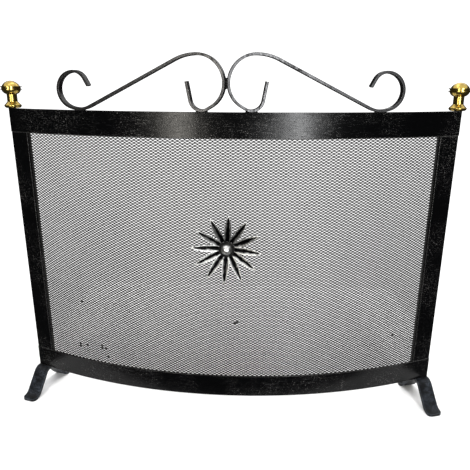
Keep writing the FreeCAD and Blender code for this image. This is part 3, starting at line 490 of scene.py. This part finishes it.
def bendTree():
    # lays V units out in rows, every second row half a diamond along, and rolls them to the bow
    number = "NodeSocketFloat"
    tree, sockets, given = newTree("expandedMetal", (
        ("Unit", "NodeSocketObject"), ("Columns", "NodeSocketInt"), ("Rows", "NodeSocketInt"),
        ("Long Way", number), ("Short Way", number), ("First Across", number),
        ("First Up", number), ("Bow Radius", number), ("Bow Centre", number),
        ("Finish", "NodeSocketMaterial")))
    places = putNode(tree, "GeometryNodePoints")
    wire(tree, combine(tree, "MULTIPLY", given["Columns"], given["Rows"]), places.inputs["Count"])
    index = putNode(tree, "GeometryNodeInputIndex").outputs["Index"]
    row = combine(tree, "FLOOR", combine(tree, "DIVIDE", combine(tree, "ADD", index, 0.5),
                                         given["Columns"]))
    column = combine(tree, "SUBTRACT", index, combine(tree, "MULTIPLY", row, given["Columns"]))
    half = combine(tree, "MULTIPLY", combine(tree, "MODULO", row, 2.0), 0.5)
    across = combine(tree, "MULTIPLY", combine(tree, "ADD", column, half), given["Long Way"])
    up = combine(tree, "MULTIPLY", row, combine(tree, "MULTIPLY", given["Short Way"], 0.5))
    laid = moveTo(tree, places.outputs["Points"],
                  combine(tree, "ADD", across, given["First Across"]), None,
                  combine(tree, "ADD", up, given["First Up"]))
    joined = putNode(tree, "GeometryNodeMergeByDistance")
    joined.inputs["Distance"].default_value = meshSheet["mergeWithin"]
    wire(tree, copyTo(tree, laid, given["Unit"]), joined.inputs["Geometry"])
    here = putNode(tree, "ShaderNodeSeparateXYZ")
    wire(tree, putNode(tree, "GeometryNodeInputPosition").outputs["Position"],
         here.inputs["Vector"])
    angle = combine(tree, "DIVIDE", here.outputs["X"], given["Bow Radius"])
    reach = combine(tree, "SUBTRACT", given["Bow Radius"], here.outputs["Y"])
    sideways = combine(tree, "MULTIPLY", reach, combine(tree, "SINE", angle))
    forwards = combine(tree, "MULTIPLY", reach, combine(tree, "COSINE", angle))
    bent = moveTo(tree, joined.outputs["Geometry"], sideways,
                  combine(tree, "SUBTRACT", given["Bow Centre"], forwards), here.outputs["Z"])
    closeTree(tree, bent, given["Finish"])
    return tree, sockets


def closeEnds(mesh):
    # caps the strands' cut ends and turns every face outwards
    shell = bmesh.new()
    shell.from_mesh(mesh)
    rims = [edge for edge in shell.edges if edge.is_boundary]
    bmesh.ops.holes_fill(shell, edges=rims, sides=4)
    bmesh.ops.recalc_face_normals(shell, faces=shell.faces)
    shell.to_mesh(mesh)
    shell.free()


def makeMeshSheet():
    low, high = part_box("mesh_panel")
    radius = bowRadius - meshSheet["behindFace"]
    halfArc = radius * math.asin((high.x - meshSheet["edgeGap"]) / bowRadius)
    bands = meshSheet["bands"]
    columns = round((2 * halfArc / meshSheet["longWay"] - 0.5) / bands) * bands
    longWay = 2 * halfArc / (columns + 0.5)
    tall = high.z - low.z - 2 * meshSheet["edgeGap"]
    rows = int(2 * tall / meshSheet["shortWay"])
    shortWay = 2 * tall / rows
    firstUp = low.z + meshSheet["edgeGap"] + shortWay / 4
    unit = bpy.data.objects.new("strandUnit", strandUnit(longWay, shortWay))
    tree, sockets = bendTree()
    for band in range(bands):
        name = f"meshBand{band + 1}"
        start = -halfArc + longWay / 2 + band * columns // bands * longWay
        mesh = bakeTree(name, tree, sockets, {
            "Unit": unit, "Columns": columns // bands, "Rows": rows, "Long Way": longWay,
            "Short Way": shortWay, "First Across": start, "First Up": firstUp,
            "Bow Radius": radius, "Bow Centre": bowCentreY, "Finish": meshPaint})
        closeEnds(mesh)
        addPiece(name, mesh, replaced=["mesh_panel"] if band == 0 else [])
    bpy.data.objects.remove(unit)
    print("mesh sheet:", columns, "by", rows, "strands, diamonds", round(longWay * 1000, 2), "x",
          round(shortWay * 1000, 2), "mm")
    return {"radius": radius, "halfArc": halfArc, "longWay": longWay, "shortWay": shortWay,
            "firstUp": firstUp, "columns": columns, "rows": rows}


# diamonds that old paint and soot have filled
clogs = {
    # spots: (across, up, reach, count)
    "spots": ((-0.236, 0.092, 0.016, 3), (-0.205, 0.088, 0.018, 5), (-0.215, 0.165, 0.004, 1),
              (0.006, 0.152, 0.005, 2), (0.236, 0.118, 0.004, 2)),
    "seed": 7, "thickness": 0.0003, "flatness": 0.35,
    "outline": ((-0.44, 0), (-0.12, 0.36), (0.12, 0.36), (0.44, 0), (0.12, -0.36),
                (-0.12, -0.36))}


def makeClogs(sheet):
    draw = random.Random(clogs["seed"])
    chosen = set()
    for across, up, reach, count in clogs["spots"]:
        for _ in range(count):
            height = up + draw.gauss(0, reach * clogs["flatness"]) - sheet["firstUp"]
            along = across + draw.gauss(0, reach) + sheet["halfArc"]
            row = round(height / (sheet["shortWay"] / 2))
            column = round(along / sheet["longWay"])
            chosen.add((min(max(row, 1), sheet["rows"] - 2),
                        min(max(column, 1), sheet["columns"] - 2)))
    shell = bmesh.new()
    for row, column in sorted(chosen):
        across = -sheet["halfArc"] + (column + 1 + 0.5 * (row % 2)) * sheet["longWay"]
        up = sheet["firstUp"] + row * sheet["shortWay"] / 2 + sheet["shortWay"] / 4
        rings = []
        for back in (-clogs["thickness"] / 2, clogs["thickness"] / 2):
            reach = sheet["radius"] - back
            angles = [(across + over * sheet["longWay"]) / sheet["radius"]
                      for over, _ in clogs["outline"]]
            rings.append([shell.verts.new((reach * math.sin(angle),
                                           bowCentreY - reach * math.cos(angle),
                                           up + rise * sheet["shortWay"]))
                          for angle, (_, rise) in zip(angles, clogs["outline"])])
        front, rear = rings
        shell.faces.new(front)
        shell.faces.new(rear[::-1])
        joinRings(shell, rear, front)
    bmesh.ops.recalc_face_normals(shell, faces=shell.faces)
    addPiece("meshClogs", keepShell(shell, "meshClogs"), meshPaint)
    print("clogged diamonds:", len(chosen))


makeClogs(makeMeshSheet())


# rosette: a pressed petal, dished along its middle with its tip curled back, twelve times
petal = {"count": 12, "turnDegrees": 4.0, "root": 0.0078, "tip": 0.0468, "thickness": 0.0008,
         "rootHalf": 0.0014, "bellyHalf": 0.0035, "tipHalf": 0.00012,
         "swellSkew": 0.85, "swellPower": 0.8, "lift": 0.0022, "tiltDegrees": 13.0,
         "curlFrom": 0.8, "curlDepth": 0.0012, "curlPower": 1.7,
         "gutter": 0.0030, "gutterEnds": 0.2, "gutterCurl": 0.5, "dishPower": 1.2, "dishDrop": 0.7,
         "steps": 22, "halfSteps": 4}
# patina and painted shade along the petal, full in the gutter and at the root; on the rims and the
# tip it is rubbed off and lightened further as a painted highlight
petalPatinaAndPaintedLight = {"gutter": 0.85, "rim": 0.6, "rimPower": 0.8, "tipFrom": 0.84, "tipPaintedHighlight": 5.4,
              "rootTo": 0.25, "root": 1.2}
hub = {"bore": 0.0026, "edge": 0.0004, "steps": 72}


def petalMesh():
    # x runs out from the centre, y across the petal, z towards the front
    shell = bmesh.new()
    patinaAndPaintedLight = shell.verts.layers.float.new("patinaAndPaintedLight")
    grid = []
    length = petal["tip"] - petal["root"]
    slope = math.tan(math.radians(petal["tiltDegrees"]))
    for step in range(petal["steps"] + 1):
        along = step / petal["steps"]
        swell = 0.0
        if 0 < along < 1:
            swell = math.sin(math.pi * along ** petal["swellSkew"]) ** petal["swellPower"]
        half = petal["rootHalf"] * (1 - along) + petal["bellyHalf"] * swell + petal["tipHalf"]
        curl = max(0.0, (along - petal["curlFrom"]) / (1 - petal["curlFrom"])) ** petal["curlPower"]
        ridge = petal["lift"] + slope * length * along - petal["curlDepth"] * curl
        depth = petal["gutter"] * (petal["gutterEnds"] + (1 - petal["gutterEnds"]) * swell)
        depth *= 1 - petal["gutterCurl"] * curl
        row = []
        for side in range(-petal["halfSteps"], petal["halfSteps"] + 1):
            share = side / petal["halfSteps"]
            dish = abs(share) ** petal["dishPower"] - petal["dishDrop"]
            point = shell.verts.new((petal["root"] + length * along, half * share,
                                     ridge + depth * dish))
            # gutter and root darker as patina and painted shade, rims and tip lighter as wear and
            # painted highlight
            wornAndPaintedHighlight = max(petalPatinaAndPaintedLight["rim"] * abs(share) ** petalPatinaAndPaintedLight["rimPower"],
                      (along - petalPatinaAndPaintedLight["tipFrom"]) * petalPatinaAndPaintedLight["tipPaintedHighlight"])
            rootPatinaAndPaintedShade = max(0.0, petalPatinaAndPaintedLight["rootTo"] - along) * petalPatinaAndPaintedLight["root"]
            point[patinaAndPaintedLight] = petalPatinaAndPaintedLight["gutter"] - wornAndPaintedHighlight + rootPatinaAndPaintedShade
            row.append(point)
        grid.append(row)
    for near, far in zip(grid, grid[1:]):
        for index in range(len(near) - 1):
            shell.faces.new((near[index], far[index], far[index + 1], near[index + 1]))
    return keepShell(shell, "petal")


def ringTree():
    # copies one petal evenly round the rosette's axis
    tree, sockets, given = newTree("petalRing", (
        ("Petal", "NodeSocketObject"), ("Count", "NodeSocketInt"),
        ("First Turn", "NodeSocketFloat"), ("Finish", "NodeSocketMaterial")))
    places = putNode(tree, "GeometryNodePoints")
    wire(tree, given["Count"], places.inputs["Count"])
    index = putNode(tree, "GeometryNodeInputIndex").outputs["Index"]
    share = combine(tree, "DIVIDE", index, given["Count"])
    heading = combine(tree, "ADD", combine(tree, "MULTIPLY", share, 2 * math.pi),
                      given["First Turn"])
    spin = putNode(tree, "ShaderNodeCombineXYZ")
    wire(tree, heading, spin.inputs["Z"])
    ring = copyTo(tree, places.outputs["Points"], given["Petal"], spin.outputs["Vector"])
    closeTree(tree, ring, given["Finish"])
    return tree, sockets


def lathe(shell, profile, steps):
    # turns a closed (radius, height) outline round the z axis
    rings = []
    for step in range(steps):
        angle = 2 * math.pi * step / steps
        rings.append([shell.verts.new((radius * math.cos(angle), radius * math.sin(angle), height))
                      for radius, height in profile])
    made = []
    for first, second in zip(rings, rings[1:] + rings[:1]):
        made += joinRings(shell, second, first)
    return made


def makeFlower():
    one = addToScene(bpy.data.objects.new("petal", petalMesh()))
    wall = one.modifiers.new("wall", "SOLIDIFY")
    wall.thickness = petal["thickness"]
    wall.offset = -1
    soft = one.modifiers.new("soft", "SUBSURF")
    soft.levels = soft.render_levels = 1
    evaluated = one.evaluated_get(bpy.context.evaluated_depsgraph_get())
    single = bpy.data.meshes.new_from_object(evaluated)
    one.modifiers.clear()
    one.data = single
    tree, sockets = ringTree()
    mesh = bakeTree("rosetteFlower", tree, sockets, {
        "Petal": one, "Count": petal["count"],
        "First Turn": math.radians(90 - petal["turnDegrees"]), "Finish": antique})
    bpy.data.objects.remove(one)
    shell = bmesh.new()
    shell.from_mesh(mesh)
    bmesh.ops.recalc_face_normals(shell, faces=shell.faces)
    collarLow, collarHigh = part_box("rosette_collar")
    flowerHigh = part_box("rosette_flower")[1]
    radius = (collarHigh.x - collarLow.x) / 2
    thick = flowerHigh.y - collarHigh.y
    bore, edge = hub["bore"], hub["edge"]
    made = lathe(shell, [(bore, 0.0), (radius - edge, 0.0), (radius, edge), (radius, thick - edge),
                         (radius - edge, thick), (bore, thick)], hub["steps"])
    bmesh.ops.recalc_face_normals(shell, faces=made)
    centre = Vector(((collarLow.x + collarHigh.x) / 2, flowerHigh.y,
                     (collarLow.z + collarHigh.z) / 2))
    upright = Matrix.Rotation(math.radians(90), 4, "X")
    bmesh.ops.transform(shell, matrix=Matrix.Translation(centre) @ upright, verts=shell.verts)
    for face in shell.faces:
        face.smooth = True
    shell.to_mesh(mesh)
    shell.free()
    addPiece("rosetteFlower", mesh, replaced=["rosette_flower"])
    print("rosette flower:", len(mesh.polygons), "faces")


makeFlower()


# weld metal: lumpy beads on the rail and the tack between the two scrolls
weldMetal = {"lump": 0.00028, "lumpScale": 900.0, "fineness": 3,
             "beadSeed": 3.0, "beadShare": 0.62, "beadTall": 0.75, "leastHalf": 0.0006,
             "beadSink": 0.35, "tackSeed": 20, "tackCount": 4, "tackShare": (0.55, 0.5, 0.17)}


def addBlob(shell, centre, half, seed):
    made = bmesh.ops.create_icosphere(shell, subdivisions=weldMetal["fineness"], radius=1.0)
    for vert in made["verts"]:
        direction = vert.co.copy()
        place = direction * half
        spot = (place + centre) * weldMetal["lumpScale"] + Vector((seed, 0, 0))
        vert.co = centre + place + direction * noise.noise(spot) * weldMetal["lump"]


def islandBoxes(node, mergeWithin=1e-6):
    # the box of each separate solid of a CAD node, from a merged copy of its mesh
    shell = bmesh.new()
    shell.from_mesh(nodes[node].data)
    bmesh.ops.remove_doubles(shell, verts=shell.verts, dist=mergeWithin)
    left, boxes = set(shell.verts), []
    while left:
        reached, waiting = [], [left.pop()]
        while waiting:
            vert = waiting.pop()
            reached.append(vert.co.copy())
            for edge in vert.link_edges:
                other = edge.other_vert(vert)
                if other in left:
                    left.remove(other)
                    waiting.append(other)
        boxes.append((Vector([min(point[i] for point in reached) for i in range(3)]),
                      Vector([max(point[i] for point in reached) for i in range(3)])))
    shell.free()
    return sorted(boxes, key=lambda box: box[0].x)


def makeWelds():
    shell = bmesh.new()
    share, tall = weldMetal["beadShare"], weldMetal["beadTall"]
    for index, (low, high) in enumerate(islandBoxes("scroll_welds")):
        middle, size = (low + high) / 2, high - low
        half = Vector((size.x * share, size.y * share, max(size.z * tall, weldMetal["leastHalf"])))
        centre = Vector((middle.x, middle.y, low.z + half.z * weldMetal["beadSink"]))
        addBlob(shell, centre, half, weldMetal["beadSeed"] + index)
    mesh = keepShell(shell, "scrollWelds", smooth=True)
    addPiece("scrollWelds", mesh, iron, ["scroll_welds"])
    low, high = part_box("scroll_tie")
    middle, size = (low + high) / 2, high - low
    half = size * Vector(weldMetal["tackShare"])
    count = weldMetal["tackCount"]
    shell = bmesh.new()
    for index in range(count):
        lift = (index - (count - 1) / 2) / count * size.z
        addBlob(shell, middle + Vector((0, 0, lift)), half, weldMetal["tackSeed"] + index)
    mesh = keepShell(shell, "scrollTack", smooth=True)
    addPiece("scrollTack", mesh, iron, ["scroll_tie"])
    print("welds made")


makeWelds()


# floor, light and camera
studio = {"floorHalf": 0.36, "floorFront": -0.10, "floorBack": 0.45,
          "floorTone": (0.95, 0.95, 0.95), "floorRoughness": 0.9, "floorSpecular": 0.1,
          "roomLight": 0.05, "backdrop": 1.36, "skyPower": 3.7, "skySpread": 110.0}
softLights = {
    # name: (place, aims at, width, height, watts, colour)
    "leftWindow": ((-0.60, -1.62, 0.42), (-0.05, -0.05, 0.40), 0.2, 1.3, 18, (1.0, 0.96, 0.88)),
    "rightWindow": ((0.60, -1.62, 0.42), (0.08, -0.05, 0.40), 0.2, 1.3, 32, (0.98, 0.99, 1.0)),
    "overhead": ((-0.2, 0.1, 1.9), (0.0, 0.0, 0.3), 1.5, 0.5, 7, (1.0, 1.0, 1.0)),
    "back": ((0.9, 1.6, 1.6), (0.0, 0.0, 0.2), 1.6, 1.6, 10, (1.0, 1.0, 1.0)),
}


def makeFloor():
    # a table top not much larger than the screen, so that the glossy bars face a dim room
    half, front, back = studio["floorHalf"], studio["floorFront"], studio["floorBack"]
    mesh = bpy.data.meshes.new("floor")
    mesh.from_pydata([(-half, front, 0), (half, front, 0), (half, back, 0), (-half, back, 0)],
                     [], [(0, 1, 2, 3)])
    finish, _, shader = newFinish("paleFloor", Roughness=studio["floorRoughness"],
                                  Specular_IOR_Level=studio["floorSpecular"])
    shader.inputs["Base Color"].default_value = (*studio["floorTone"], 1.0)
    mesh.materials.append(finish)
    addToScene(bpy.data.objects.new("floor", mesh))


def makeRoom():
    # bright to the eye, dim to every surface
    world = bpy.data.worlds.new("studio")
    bpy.context.scene.world = world
    world.use_nodes = True
    tree = world.node_tree
    background = tree.nodes["Background"]
    background.inputs["Color"].default_value = (1, 1, 1, 1)
    seen = putNode(tree, "ShaderNodeLightPath").outputs["Is Camera Ray"]
    wire(tree, spread(tree, seen, 0, 1, studio["roomLight"], studio["backdrop"]),
         background.inputs["Strength"])


def makeLights():
    sky = bpy.data.lights.new("sky", "SUN")
    sky.energy = studio["skyPower"]
    sky.angle = math.radians(studio["skySpread"])
    addToScene(bpy.data.objects.new("sky", sky))
    for name, (place, target, wide, tall, watts, colour) in softLights.items():
        data = bpy.data.lights.new(name, "AREA")
        data.shape = "RECTANGLE"
        data.size, data.size_y = wide, tall
        data.energy = watts
        data.color = colour
        lamp = addToScene(bpy.data.objects.new(name, data))
        lamp.location = place
        lamp.rotation_mode = "QUATERNION"
        lamp.rotation_quaternion = (Vector(target) - Vector(place)).to_track_quat("-Z", "Y")
        lamp.visible_camera = False


eye = {"place": (0.0441, -0.6691, 0.4697), "yaw": 0.0534, "pitch": 0.296, "roll": 0.0043,
       "lens": 38.0, "sensor": 36.0, "nearest": 0.01}


def makeCamera():
    data = bpy.data.cameras.new("eye")
    data.lens = eye["lens"]
    data.sensor_width = eye["sensor"]
    data.clip_start = eye["nearest"]
    camera = addToScene(bpy.data.objects.new("eye", data))
    level = Vector((-math.sin(eye["yaw"]), math.cos(eye["yaw"]), 0))
    side = Vector((math.cos(eye["yaw"]), math.sin(eye["yaw"]), 0))
    above = Vector((0, 0, 1))
    forward = level * math.cos(eye["pitch"]) - above * math.sin(eye["pitch"])
    up = above * math.cos(eye["pitch"]) + level * math.sin(eye["pitch"])
    rolledSide = side * math.cos(eye["roll"]) + up * math.sin(eye["roll"])
    rolledUp = up * math.cos(eye["roll"]) - side * math.sin(eye["roll"])
    turn = Matrix((rolledSide, rolledUp, -forward)).transposed()
    camera.matrix_world = Matrix.Translation(eye["place"]) @ turn.to_4x4()
    bpy.context.scene.camera = camera


makeFloor()
makeRoom()
makeLights()
makeCamera()
bpy.context.scene.view_settings.view_transform = "Standard"
print("studio ready")
